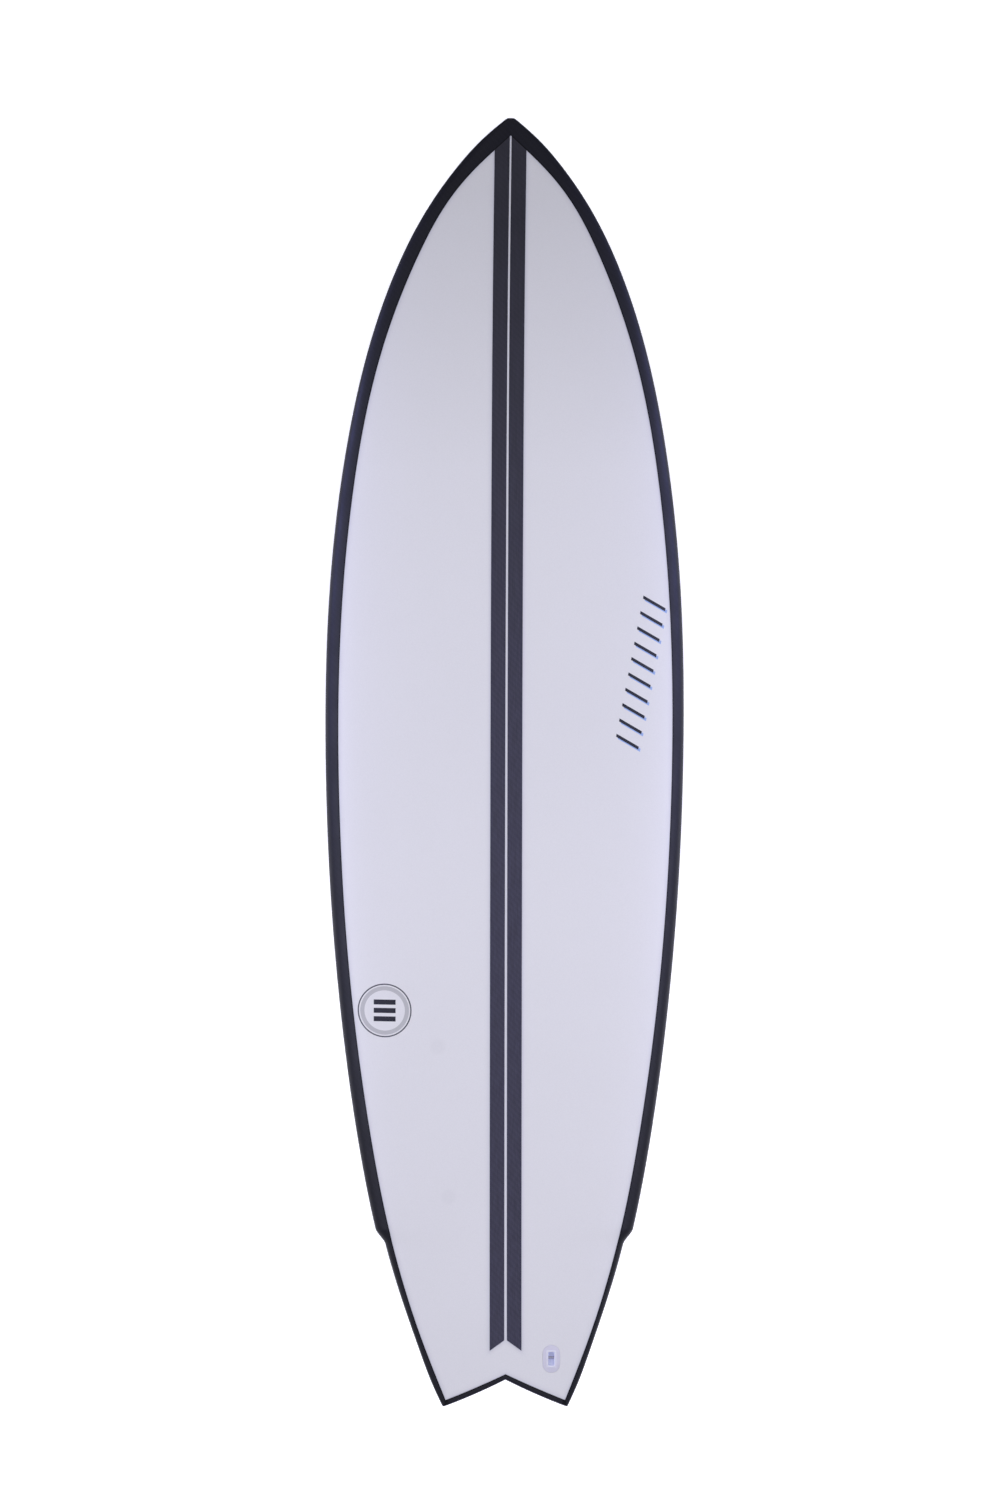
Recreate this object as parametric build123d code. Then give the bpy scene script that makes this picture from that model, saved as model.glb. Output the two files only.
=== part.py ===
from build123d import *
import os
from math import cos, pi, radians, sin, sqrt

# Shortboard surfboard with a winged swallow tail and two removable fins.
# Board frame, millimetres: X across (positive to the right seen from the deck, nose up),
# Y from the tail tips (0) to the nose, Z up with 0 at the lowest point of the bottom.
# REST turns the finished board into its resting pose: deck up, on the belly and both fin tips.

# ---- overall shape ----
LENGTH = 1778.0            # 5 ft 10 in
NOSE_ROCKER = 127.0        # height of the bottom at the nose
TAIL_ROCKER = 54.0         # height of the bottom at the tail
FLAT_SPOT = 830.0          # station where the bottom is lowest
NOSE_CURVE = 2.4           # exponents of the two rocker curves
TAIL_CURVE = 2.5
BOTTOM_CONCAVE = 2.0       # how much the centre of the bottom stands above its edges
CONCAVE_SHARE = 0.05       # but never more than this share of the thickness

# half width at stations along the board, before the wing steps it in
OUTLINE = [(0, 94.5), (30, 108.4), (75, 125.5), (200, 166.5), (340, 197.5), (520, 223.6),
           (720, 241.3), (936, 248.2), (1140, 242.3), (1330, 220.0), (1466, 190.3), (1565, 156.6),
           (1650, 114.6), (1714, 69.7), (1750, 36.8), (1778, 4.5)]
# thickness at the centre line
THICKNESS_LINE = [(0, 17.0), (70, 25.5), (200, 38.0), (340, 48.0), (560, 57.5), (900, 61.5),
                  (1200, 56.5), (1470, 38.5), (1620, 26.0), (1730, 15.5), (1778, 8.5)]

# cross-section: the rail's apex sits at this share of the thickness, more towards the nose
APEX_SHARE, APEX_GROWTH = 0.30, 0.12
DECK_FLAT = 0.60           # how far out the deck stays flat, as a share of the half width
DECK_SHOULDER = 0.72       # how upright the deck meets the rail
BOTTOM_TUCK = 0.15         # how far the bottom's curve is pulled down under the rail
BOTTOM_FLAT = 0.90

WING_START = 246.0         # the rail steps in here, going aft
WING_RUN = 22.0            # length of the step
WING_STEP = 8.5            # how far the rail steps in
NOTCH_DEPTH = 37.8         # swallow tail, from the tips to the apex of the notch
NOTCH_MIDDLE = (45.0, 16.7)
NOTCH_END = (98.0, -4.2)   # the notch edge runs out past the rail here
NOTCH_REACH = 40.0         # the cutting prism reaches this far behind that

# stations of the cross-sections, closer together at the wing and the nose
STATIONS = [0, 25, 60, 110, 160, 200, 216, 224, 229.5, 235, 240.5, 246, 254, 275, 320, 400,
            520, 680, 850, 1000, 1150, 1290, 1400, 1490, 1570, 1635, 1685, 1722, 1748, 1766]

# ---- laminates, stringer, carbon tapes ----
SKIN = 1.0
TAPE_THICK = 0.5
TAPE_OUTER = 22.0          # outer edge of each tape from the centre line
TAPE_INNER = 1.9           # inner edge; the pale line between is the stringer
TAPE_INNER_NOSE = 1.2
TAPE_TAIL_INNER = 92.0     # the tapes end in the same swallow angle as the tail
TAPE_TAIL_OUTER = 77.6
STRINGER_WIDTH = 3.8
# inner edge of the rail wrap on the deck, right half, from the tail corner to the nose
PANEL_EDGE = [(82, 8), (114.5, 91), (155.3, 224), (185.5, 373), (212.4, 571), (229.7, 837),
              (229.6, 1045), (211.8, 1267), (171.3, 1466), (120.6, 1598), (57.1, 1698), (0, 1753)]
PANEL_NOTCH = 44.6         # apex of the panel behind the swallow notch
PANEL_NOTCH_MIDDLE = (44.0, 24.2)

# ---- leash plug ----
PLUG_X, PLUG_Y = 63.5, 66.5
PLUG_WIDTH, PLUG_LENGTH = 24.4, 38.5
PLUG_DEPTH = 17.0
PLUG_SLOT_WIDTH, PLUG_SLOT_LENGTH = 8.2, 18.4
PLUG_SLOT_DEPTH = 14.0
PLUG_LIP, PLUG_LIP_HEIGHT = 2.5, 0.6
PLUG_LIP_CORNER, PLUG_SLOT_CORNER = 3.0, 1.5
PLUG_LEVEL = 0.86          # height of the deck at the plug, as a share of the thickness
PLUG_MARGIN = 9.0          # dense foam round the plug
PLUG_INSERT_DEPTH = 47.0   # deeper than the board, so the dense foam goes right through
PIN_DIAMETER, PIN_LENGTH = 3.9, 20.2
PIN_DEPTH, PIN_OFFSET = 4.6, 2.1

# ---- fin boxes, fins and screws (right side; the left side is its mirror image) ----
FIN_X, FIN_Y = 119.5, 247.0
FIN_CANT, FIN_TOE = 6.5, 1.8
BOX_LENGTH, BOX_WIDTH, BOX_DEPTH = 134.0, 22.0, 22.0
BOX_SHIFT = 7.0            # the box reaches further forward, for the screw
BOX_LEVEL = 0.04           # height of the bottom at the boxes, as a share of the thickness
SLOT_LENGTH, SLOT_WIDTH, SLOT_DEPTH = 108.0, 6.7, 19.0
SLOT_CORNER, TAB_CORNER = 1.0, 1.2
TAB_LENGTH, TAB_WIDTH, TAB_DEPTH = 107.4, 6.4, 18.0
INSERT_MARGIN, INSERT_DEPTH = 7.0, 26.0
FIN_GAP = 0.5              # between the fin's shoulder and the bottom of the board
FIN_BASE, FIN_DEPTH, FIN_THICK = 118.0, 122.0, 6.6
FIN_RAKE, FIN_SWEEP, FIN_TIP = 55.0, 93.0, 30.0
FIN_HOLLOW = 10.0          # how far the trailing edge is cut in at mid depth
FIN_THIN, FIN_TAPER = 1.0, 0.7   # thickness at the tip, and how it grows towards the base
FOIL_BULGE, FOIL_EDGE = 1.28, 0.6
FOIL_NOSE, FOIL_TAIL = 0.02, 0.55
FOIL_SECTIONS = (0, 0.2, 0.4, 0.6, 0.75, 0.87, 0.95, 0.985)
SCREW_DIAMETER, SCREW_LENGTH, SCREW_ANGLE = 4.8, 12.0, 45.0
SCREW_PLAY = 0.03          # radial clearance in the box
SCREW_TIP_GAP = 0.3        # the tip stops this far short of the slot
SCREW_RECESS = 4.0         # the socket lies this far down its hole
SCREW_CHAMFER = 0.6
HOLE_PAST_TIP = 8.0        # the screw's hole breaks through into the slot
HEX_SIZE, HEX_DEPTH = 2.4, 3.2

TALL = 600.0               # height of the vertical cutting prisms
OVER = 10.0                # how far a cutting tool stands out of the surface it cuts


def smooth_line(points):
    """Natural cubic spline through (station, value) points, as a function of the station."""
    xs = [p[0] for p in points]
    ys = [p[1] for p in points]
    last = len(xs) - 1
    gap = [xs[i + 1] - xs[i] for i in range(last)]
    slope = [(ys[i + 1] - ys[i]) / gap[i] for i in range(last)]
    upper, right = [0.0], [0.0]
    for i in range(1, last):
        pivot = 2 * (gap[i - 1] + gap[i]) - gap[i - 1] * upper[i - 1]
        upper.append(gap[i] / pivot)
        right.append((6 * (slope[i] - slope[i - 1]) - gap[i - 1] * right[i - 1]) / pivot)
    bend = [0.0] * (last + 1)
    for i in range(last - 1, 0, -1):
        bend[i] = right[i] - upper[i] * bend[i + 1]

    def value(x):
        i = max(k for k in range(last) if k == 0 or xs[k] <= x)
        ahead, behind = xs[i + 1] - x, x - xs[i]
        return ((bend[i] * ahead ** 3 + bend[i + 1] * behind ** 3) / (6 * gap[i])
                + (ys[i] / gap[i] - bend[i] * gap[i] / 6) * ahead
                + (ys[i + 1] / gap[i] - bend[i + 1] * gap[i] / 6) * behind)

    return value


outline = smooth_line(OUTLINE)
thickness = smooth_line(THICKNESS_LINE)


def half_width(y):
    """Half width at a station, stepped in behind the wing."""
    step = min(max((WING_START - y) / WING_RUN, 0.0), 1.0)
    return outline(y) - WING_STEP * step * step * (3 - 2 * step)


def rocker(y):
    """Height of the bottom at a station."""
    if y > FLAT_SPOT:
        return NOSE_ROCKER * ((y - FLAT_SPOT) / (LENGTH - FLAT_SPOT)) ** NOSE_CURVE
    return TAIL_ROCKER * ((FLAT_SPOT - y) / FLAT_SPOT) ** TAIL_CURVE


def section(y, inset):
    """Closed cross-section of the board at a station, drawn in by inset all round."""
    w = half_width(y) - inset
    low = rocker(y) + inset
    thick = thickness(y) - 2 * inset
    high = low + thick
    apex = low + (APEX_SHARE + APEX_GROWTH * y / LENGTH) * thick
    shoulder = apex + DECK_SHOULDER * (high - apex)
    tuck = low - BOTTOM_TUCK * (apex - low)
    floor = low + min(BOTTOM_CONCAVE, CONCAVE_SHARE * thick)
    edges = []
    for side in (1, -1):
        deck = [(0, y, high), (side * DECK_FLAT * w, y, high),
                (side * w, y, shoulder), (side * w, y, apex)]
        bottom = [(side * w, y, apex), (side * w, y, tuck),
                  (side * BOTTOM_FLAT * w, y, floor), (0, y, floor)]
        pair = [Bezier(*deck), Bezier(*bottom)]
        if side < 0:
            pair = [Bezier(*reversed(bottom)), Bezier(*reversed(deck))]
        edges += pair
    return Face(Wire(edges))


def blank(inset):
    """The whole board as one solid, drawn in by inset."""
    return loft([section(y, inset) for y in STATIONS + [LENGTH - 1.5 * inset]])


def prism(sketch_face):
    """Vertical prism through the whole height of the board."""
    return extrude(Pos(0, 0, -TALL / 3) * sketch_face, TALL)


def notch(offset):
    """Region removed from the tail by the swallow notch."""
    arc = ThreePointArc((0, NOTCH_DEPTH + offset), (NOTCH_MIDDLE[0], NOTCH_MIDDLE[1] + offset),
                        (NOTCH_END[0], NOTCH_END[1] + offset))
    x, y = NOTCH_END
    rest = Polyline((x, y + offset), (x, y - NOTCH_REACH), (0, y - NOTCH_REACH),
                    (0, NOTCH_DEPTH + offset))
    half = make_face([arc, rest])
    return prism(half + mirror(half, about=Plane.YZ))


def panel():
    """Vertical prism of the deck panel inside the rail wraps."""
    side = Spline(*PANEL_EDGE)
    back = ThreePointArc((0, PANEL_NOTCH), PANEL_NOTCH_MIDDLE, PANEL_EDGE[0])
    half = make_face([side, back, Line((0, PANEL_NOTCH), (0, PANEL_EDGE[-1][1]))])
    return prism(half + mirror(half, about=Plane.YZ))


def tape_prism():
    """Vertical prism of the right-hand carbon tape."""
    return prism(make_face(Polyline((TAPE_INNER, TAPE_TAIL_INNER), (TAPE_OUTER, TAPE_TAIL_OUTER),
                                    (TAPE_OUTER, LENGTH), (TAPE_INNER_NOSE, LENGTH), close=True)))


def side_block(side):
    """Everything to one side of the centre line."""
    return Pos(side * TALL / 2, LENGTH / 2, TALL / 6) * Box(TALL, LENGTH * 1.2, TALL * 2)


def slope_of(line, y):
    """Slope angle of a height line at a station, in degrees."""
    return (Vector(0, 1, 0).get_angle(Vector(0, 2, line(y + 1) - line(y - 1)))
            * (1 if line(y + 1) > line(y - 1) else -1))


def plug_frame():
    """Frame on the deck at the leash plug, Z out of the deck."""
    def level(y):
        return rocker(y) + PLUG_LEVEL * thickness(y)

    return Pos(PLUG_X, PLUG_Y, level(PLUG_Y)) * Rotation(slope_of(level, PLUG_Y), 0, 0)


def plug_body(margin, depth):
    """Oblong block round the leash plug, from depth to above the deck."""
    oblong = SlotOverall(PLUG_LENGTH + 2 * margin, PLUG_WIDTH + 2 * margin, rotation=90)
    return plug_frame() * extrude(Pos(0, 0, -depth) * oblong, depth + OVER)


def leash_pin():
    place = plug_frame() * Pos(0, PIN_OFFSET, -PIN_DEPTH) * Rotation(0, 90, 0)
    return place * Cylinder(PIN_DIAMETER / 2, PIN_LENGTH)


def leash_cup(outer):
    """Oblong cup, flush with the deck, with a raised lip round its slot."""
    lip = Rectangle(PLUG_SLOT_WIDTH + 2 * PLUG_LIP, PLUG_SLOT_LENGTH + 2 * PLUG_LIP)
    lip = fillet(lip.vertices(), PLUG_LIP_CORNER)
    lip = extrude(Pos(0, 0, -PLUG_SLOT_DEPTH) * lip, PLUG_SLOT_DEPTH + OVER)
    slot = fillet(Rectangle(PLUG_SLOT_WIDTH, PLUG_SLOT_LENGTH).vertices(), PLUG_SLOT_CORNER)
    slot = extrude(Pos(0, 0, -PLUG_SLOT_DEPTH) * slot, PLUG_SLOT_DEPTH + 2 * OVER)
    body = plug_body(0, PLUG_DEPTH) & outer
    body += (plug_frame() * lip) & (Pos(0, 0, PLUG_LIP_HEIGHT) * outer)
    return body - plug_frame() * slot - leash_pin()


def fin_frame():
    """Frame on the bottom at the right fin: X outboard, Y forward, Z into the board."""
    height = rocker(FIN_Y) + BOX_LEVEL * thickness(FIN_Y)
    return (Pos(FIN_X, FIN_Y, height) * Rotation(0, 0, FIN_TOE)
            * Rotation(slope_of(rocker, FIN_Y), 0, 0) * Rotation(0, -FIN_CANT, 0))


def box_body(margin, depth):
    """Oblong block round the fin box, from below the bottom up to depth."""
    oblong = SlotOverall(BOX_LENGTH + 2 * margin, BOX_WIDTH + 2 * margin, rotation=90)
    return fin_frame() * extrude(Pos(0, BOX_SHIFT, -2 * OVER) * oblong, depth + 2 * OVER)


def screw_frame():
    """Frame at the screw's tip, Z back along the screw towards its socket."""
    tip = SLOT_LENGTH / 2 + SCREW_TIP_GAP + SCREW_DIAMETER / 2 * sin(radians(SCREW_ANGLE))
    depth = (SCREW_LENGTH + SCREW_RECESS) * cos(radians(SCREW_ANGLE))
    return fin_frame() * Pos(0, tip, depth) * Rotation(180 + SCREW_ANGLE, 0, 0)


def fin_box(outer):
    slot = Pos(0, 0, SLOT_DEPTH / 2 - OVER) * Box(SLOT_WIDTH, SLOT_LENGTH, SLOT_DEPTH + 2 * OVER)
    slot = fillet(slot.edges().filter_by(Axis.Z), SLOT_CORNER)
    hole = Cylinder(SCREW_DIAMETER / 2 + SCREW_PLAY, SCREW_LENGTH * 2 + HOLE_PAST_TIP)
    hole = Pos(0, 0, SCREW_LENGTH - HOLE_PAST_TIP / 2) * hole
    return (box_body(0, BOX_DEPTH) & outer) - fin_frame() * slot - screw_frame() * hole


def fin_screw():
    """Headless screw with a hexagon socket."""
    body = Pos(0, 0, SCREW_LENGTH / 2) * Cylinder(SCREW_DIAMETER / 2, SCREW_LENGTH)
    body = chamfer(body.faces().sort_by(Axis.Z)[0].edges(), SCREW_CHAMFER)
    hexagon = RegularPolygon(HEX_SIZE / sqrt(3), 6)
    socket = extrude(Pos(0, 0, SCREW_LENGTH - HEX_DEPTH) * hexagon, HEX_DEPTH + 1)
    return screw_frame() * (body - socket)


def foil(u):
    """Flat-sided foil section of the fin at a fraction u of its depth."""
    front = FIN_BASE / 2 - FIN_RAKE * u - FIN_SWEEP * (1 - sqrt(1 - u * u))
    back = -FIN_BASE / 2 + FIN_HOLLOW * sin(pi * u) - FIN_TIP * u * u
    chord = front - back
    thick = FIN_THIN + (FIN_THICK - FIN_THIN) * (1 - u) ** FIN_TAPER
    z = -FIN_GAP - FIN_DEPTH * u
    flat = -TAB_WIDTH / 2
    bulge, edge = flat + FOIL_BULGE * thick, flat + FOIL_EDGE
    curve = Bezier((flat, front, z), (bulge, front - FOIL_NOSE * chord, z),
                   (bulge, front - FOIL_TAIL * chord, z), (edge, back, z))
    sides = Polyline((edge, back, z), (flat, back, z), (flat, front, z))
    return Face(Wire([curve] + sides.edges()))


def fin():
    """Single-foiled raked fin with one long tab."""
    blade = loft([foil(u) for u in FOIL_SECTIONS])
    tab = Pos(0, 0, (TAB_DEPTH - FIN_GAP) / 2) * Box(TAB_WIDTH, TAB_LENGTH, TAB_DEPTH + FIN_GAP)
    tab = fillet(tab.edges().filter_by(Axis.Z), TAB_CORNER)
    return fin_frame() * (blade + tab)


def tapes(outer, inside, shift):
    """Right carbon tape let into a laminate; shift is the outer solid moved by its thickness."""
    return ((outer & inside) & tape_prism()) - Pos(0, 0, shift) * outer


def board():
    """Every piece in the board frame, by node name."""
    outer = blank(0) - notch(0)
    inner = blank(SKIN) - notch(SKIN * 1.1)
    inside = panel()
    shell = outer - inner
    skins = (shell & inside).solids().sort_by(Axis.Z)
    core = inner & inside
    rail = inner - inside
    wrap = shell - inside
    right, left = side_block(1), side_block(-1)

    parts = {}
    parts["rail_core_right"] = rail & right
    parts["rail_wrap_right"] = wrap & right

    plug_hole = plug_body(0, PLUG_DEPTH)
    plug_block = plug_body(PLUG_MARGIN, PLUG_INSERT_DEPTH)
    box_hole = box_body(0, BOX_DEPTH)
    box_block = box_body(INSERT_MARGIN, INSERT_DEPTH)
    box_holes = box_hole + mirror(box_hole, about=Plane.YZ)

    tape = tapes(outer, inside, -TAPE_THICK)
    low_tape = tapes(outer, inside, TAPE_THICK)
    parts["deck_carbon_strip_right"] = tape
    parts["bottom_carbon_strip_right"] = low_tape
    both = tape + mirror(tape, about=Plane.YZ)
    both_low = low_tape + mirror(low_tape, about=Plane.YZ)
    parts["deck_laminate"] = skins[-1] - both - plug_hole
    parts["bottom_laminate"] = skins[0] - both_low - box_holes

    stringer = Pos(0, LENGTH / 2, TALL / 6) * Box(STRINGER_WIDTH, LENGTH * 1.2, TALL * 2)
    parts["stringer"] = core & stringer
    half = (core - stringer) & right
    parts["foam_core_right"] = half - plug_block - box_block
    parts["foam_core_left"] = mirror(half - box_block, about=Plane.YZ)
    parts["leash_plug_insert"] = (half & plug_block) - plug_hole
    parts["leash_plug_cup"] = leash_cup(outer)
    parts["leash_plug_pin"] = leash_pin()
    parts["fin_box_insert_right"] = (half & box_block) - box_hole
    parts["fin_box_right"] = fin_box(outer)
    parts["fin_right"] = fin()
    parts["fin_screw_right"] = fin_screw()
    for name in ("rail_core", "rail_wrap", "deck_carbon_strip", "bottom_carbon_strip",
                 "fin_box_insert", "fin_box", "fin", "fin_screw"):
        parts[name + "_left"] = mirror(parts[name + "_right"], about=Plane.YZ)
    return parts


def lowest(shape):
    return shape.bounding_box(optimal=True).min.Z


def rest_pose(parts):
    """Turn that sets the belly and both fin tips on one level, origin at the bottom centre."""
    low, high = 0.0, 12.0
    for _ in range(24):
        pitch = -(low + high) / 2
        turn = Rotation(pitch, 0, 0)
        if lowest(turn * parts["fin_right"]) < lowest(turn * parts["bottom_laminate"]):
            low = -pitch
        else:
            high = -pitch
    turn = Rotation(pitch, 0, 0)
    boxes = [(turn * shape).bounding_box(optimal=True) for shape in parts.values()]
    floor = min(box.min.Z for box in boxes)
    middle = (min(box.min.Y for box in boxes) + max(box.max.Y for box in boxes)) / 2
    print("rest pitch", round(pitch, 3), "middle", round(middle, 3), "floor", round(floor, 3))
    return Pos(0, -middle, -floor) * turn


def main():
    parts = board()
    rest = rest_pose(parts)
    os.makedirs("parts", exist_ok=True)
    for name, shape in parts.items():
        export_step(rest * shape, f"parts/{name}.step")


main()
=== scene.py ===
from math import atan2, cos, pi, radians, sin

import bmesh
import bpy
import numpy as np
from mathutils import Matrix, Vector


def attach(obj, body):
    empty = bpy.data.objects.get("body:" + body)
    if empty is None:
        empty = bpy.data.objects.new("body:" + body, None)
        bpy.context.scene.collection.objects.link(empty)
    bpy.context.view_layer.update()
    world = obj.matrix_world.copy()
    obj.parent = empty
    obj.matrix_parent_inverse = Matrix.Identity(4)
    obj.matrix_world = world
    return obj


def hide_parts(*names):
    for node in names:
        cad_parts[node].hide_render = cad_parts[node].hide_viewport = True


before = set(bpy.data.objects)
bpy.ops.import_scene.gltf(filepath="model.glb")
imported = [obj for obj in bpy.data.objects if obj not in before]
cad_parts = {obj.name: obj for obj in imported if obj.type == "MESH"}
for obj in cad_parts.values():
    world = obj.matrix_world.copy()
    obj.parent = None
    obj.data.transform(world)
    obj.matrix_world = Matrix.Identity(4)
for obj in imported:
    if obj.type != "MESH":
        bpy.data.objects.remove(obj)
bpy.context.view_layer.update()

# ---------------------------------------------------------------- sizes, in the board's own frame
# Millimetres: X across, Y from the tail tips to the nose, Z up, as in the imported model.
MM = 0.001
LENGTH = 1778.0
NOSE_ROCKER, TAIL_ROCKER, FLAT_SPOT = 127.0, 54.0, 830.0
NOSE_CURVE, TAIL_CURVE = 2.4, 2.5
CONCAVE, CONCAVE_SHARE = 2.0, 0.05                       # at most this share of the thickness
APEX_AT_TAIL, APEX_GAIN = 0.30, 0.12                     # height of the rail's apex, as a share
OUTLINE = [(0, 94.5), (30, 108.4), (75, 125.5), (200, 166.5), (340, 197.5), (520, 223.6),
           (720, 241.3), (936, 248.2), (1140, 242.3), (1330, 220.0), (1466, 190.3), (1565, 156.6),
           (1650, 114.6), (1714, 69.7), (1750, 36.8), (1778, 4.5)]
THICKNESS_LINE = [(0, 17.0), (70, 25.5), (200, 38.0), (340, 48.0), (560, 57.5), (900, 61.5),
                  (1200, 56.5), (1470, 38.5), (1620, 26.0), (1730, 15.5), (1778, 8.5)]
PANEL_LINE = [(9.6, 82.6), (91, 114.5), (224, 155.3), (373, 185.5), (571, 212.4), (837, 229.7),
              (1045, 229.6), (1267, 211.8), (1466, 171.3), (1598, 120.6), (1698, 57.1), (1753, 0)]
WING_START, WING_RUN, WING_STEP = 246.0, 22.0, 8.5
NOTCH = [(0.0, 37.8), (45.0, 16.7), (98.0, -4.2)]       # three points of the swallow notch's arc
PANEL_NOTCH = [(0.0, 45.4), (44.0, 25.6), (82.6, 9.6)]
TAIL_TIP = 86.0                                          # where the notch meets the rail
TIP_ROUND = 2.5                                          # the tail tips are rounded off this far
NOSE_X, NOSE_Y = 21.0, 1764.0                            # the outline turns into the blunt tip here
NOSE_SLOPE, NOSE_CORNER, NOSE_ROUND = 0.835, 4.0, 1.6    # sides of the tip, cut off flat across
SKIN = 0.65                                              # thickness of the shown laminates
RAIL_ROUND, RAIL_ROUND_SHARE = 3.0, 0.42                 # rounding of the rail's edges
HARD_ROUND, HARD_ROUND_SHARE, HARD_END = 1.6, 0.3, 200   # of its lower edge near the tail

TAPE_INNER, TAPE_INNER_NOSE, TAPE_OUTER = 1.9, 1.2, 22.0
TAPE_TAIL = (92.0, 77.6)                                 # where its inner and outer edges end
TAPE_RAISE, TAPE_SINK = 0.12, 0.01                       # its two faces above the skin
WRAP_RAISE, WRAP_LAP = 0.15, 1.0                         # the wraps lap over the skins and tapes

PLUG_X, PLUG_Y = 63.5, 66.5
PLUG_WIDTH, PLUG_LENGTH, PLUG_DEPTH = 24.4, 38.5, 16.5
SLOT_WIDTH, SLOT_LENGTH, SLOT_DEPTH = 8.2, 18.4, 13.5
LIP, LIP_HEIGHT = 2.5, 0.6
PLUG_CLEARANCE = 0.08

FIN_X, FIN_Y, FIN_CANT, FIN_TOE = 119.5, 247.0, 6.5, 1.8
FIN_GAP, FIN_BASE, FIN_DEPTH, FIN_THICK = 0.5, 118.0, 122.0, 6.6
FIN_RAKE, FIN_SWEEP, FIN_TIP = 55.0, 93.0, 30.0
TAB_LENGTH, TAB_WIDTH, TAB_DEPTH = 107.4, 6.4, 18.0
BOX_LENGTH, BOX_WIDTH, BOX_SHIFT = 134.0, 22.0, 7.0
FIN_EDGE, TIP_THICK, FIN_BULGE = 0.6, 1.0, 1.28          # trailing edge, tip, curved side

REST_PITCH = radians(-5.699)                             # the board lies on its belly and fin tips
REST_SHIFT = (-0.894307, 0.104694)                       # along Y and Z, in metres

RING_MARK, BAR_MARK = (-167.0, 547.0), (186.0, 1012.0)   # centres of the plain marks on the deck
SMUDGES = [(-94.0, 497.0), (-79.0, 290.0)]

# ---------------------------------------------------------------- stage, in metres and watts
FLOOR_REACH, FLOOR_WHITE, FLOOR_GLOW = 60.0, 0.93, 0.55
SKY_COLOUR, SKY_STRENGTH = (1.0, 1.0, 0.95, 1), 0.35
# name, place, aim, size, power, tint; the side lights stand on the right and are mirrored
MIDDLE_LIGHTS = [("sky", (0, 2.6, 8.0), (0, 0, 0), (6.0, 4.0), 100, (1, 1, 1)),
                 ("tail", (0, -1.9, 1.6), (0, -0.5, 0), (2.4, 1.0), 10, (0.47, 0.47, 1.0))]
SIDE_LIGHTS = [("low", (1.9, 0.45, 0.7), (0, 0.4, 0.05), (1.1, 0.8), 9, (0.5, 0.5, 1.0)),
               ("glow", (1.25, 0.48, 0.28), (0.22, 0.45, 0.04), (0.6, 0.3), 3.0,
                (0.30, 0.33, 1.0)),
               ("high", (1.3, -0.12, 1.2), (0, -0.1, 0), (0.9, 0.9), 10.5, (0.72, 0.72, 1.0))]
PICTURE_HEIGHT, CAMERA_DISTANCE, SENSOR = 2070.6, 30000.0, 36.0   # millimetres
CAMERA_AIM = (-10.1, LENGTH / 2 + 17.8, 60.0)            # in the board's frame
CAMERA_LEAN, CAMERA_ROLL = radians(-3.6), radians(0.11)  # it stands slightly to the left


# ---------------------------------------------------------------- the board's shape
def smooth_line(points):
    """Natural cubic spline through (station, value) points."""
    xs, ys = np.array(points, float).T
    gap = np.diff(xs)
    slope = np.diff(ys) / gap
    matrix, right = np.eye(len(xs)), np.zeros(len(xs))
    for i in range(1, len(xs) - 1):
        matrix[i, i - 1:i + 2] = gap[i - 1], 2 * (gap[i - 1] + gap[i]), gap[i]
        right[i] = 6 * (slope[i] - slope[i - 1])
    bend = np.linalg.solve(matrix, right)

    def value(x):
        x = np.asarray(x, float)
        i = np.clip(np.searchsorted(xs, x, side="right") - 1, 0, len(xs) - 2)
        ahead, behind, h = xs[i + 1] - x, x - xs[i], gap[i]
        return ((bend[i] * ahead ** 3 + bend[i + 1] * behind ** 3) / (6 * h)
                + (ys[i] / h - bend[i] * h / 6) * ahead
                + (ys[i + 1] / h - bend[i + 1] * h / 6) * behind)

    return value


outline = smooth_line(OUTLINE)
thickness = smooth_line(THICKNESS_LINE)
panel_width = smooth_line(PANEL_LINE)


def half_width(y):
    step = np.clip((WING_START - y) / WING_RUN, 0, 1)
    return outline(y) - WING_STEP * step * step * (3 - 2 * step)


def rocker(y):
    y = np.asarray(y, float)
    ahead = np.clip((y - FLAT_SPOT) / (LENGTH - FLAT_SPOT), 0, None)
    behind = np.clip((FLAT_SPOT - y) / FLAT_SPOT, 0, None)
    return NOSE_ROCKER * ahead ** NOSE_CURVE + TAIL_ROCKER * behind ** TAIL_CURVE


def bezier(t, a, b, c, d):
    s = 1 - t
    return a * s ** 3 + 3 * b * s * s * t + 3 * c * s * t * t + d * t ** 3


STEPS = np.linspace(0, 1, 4001)
DECK_X = bezier(STEPS, 0, 0.60, 1, 1)                    # half section, centre to rail
DECK_RISE = bezier(STEPS, 1, 1, 0.72, 0)                 # height over the rail's apex
UNDER_X = bezier(STEPS, 0, 0.90, 1, 1)
UNDER_RISE = bezier(STEPS, 0, 0, -0.15, 1)
UNDER_CONCAVE = bezier(STEPS, 1, 1, 0, 0)


def levels(y):
    """Heights of the bottom, the rail's apex and the deck's centre at a station."""
    low, thick = rocker(y), thickness(y)
    return low, low + (APEX_AT_TAIL + APEX_GAIN * y / LENGTH) * thick, low + thick


def deck_height(x, y):
    low, apex, high = levels(y)
    share = np.clip(np.abs(x) / half_width(y), 0, 1)
    return apex + (high - apex) * np.interp(share, DECK_X, DECK_RISE)


def bottom_height(x, y):
    low, apex, high = levels(y)
    share = np.clip(np.abs(x) / half_width(y), 0, 1)
    concave = np.minimum(CONCAVE, CONCAVE_SHARE * (high - low))
    return (low + (apex - low) * np.interp(share, UNDER_X, UNDER_RISE)
            + concave * np.interp(share, UNDER_X, UNDER_CONCAVE))


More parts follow.
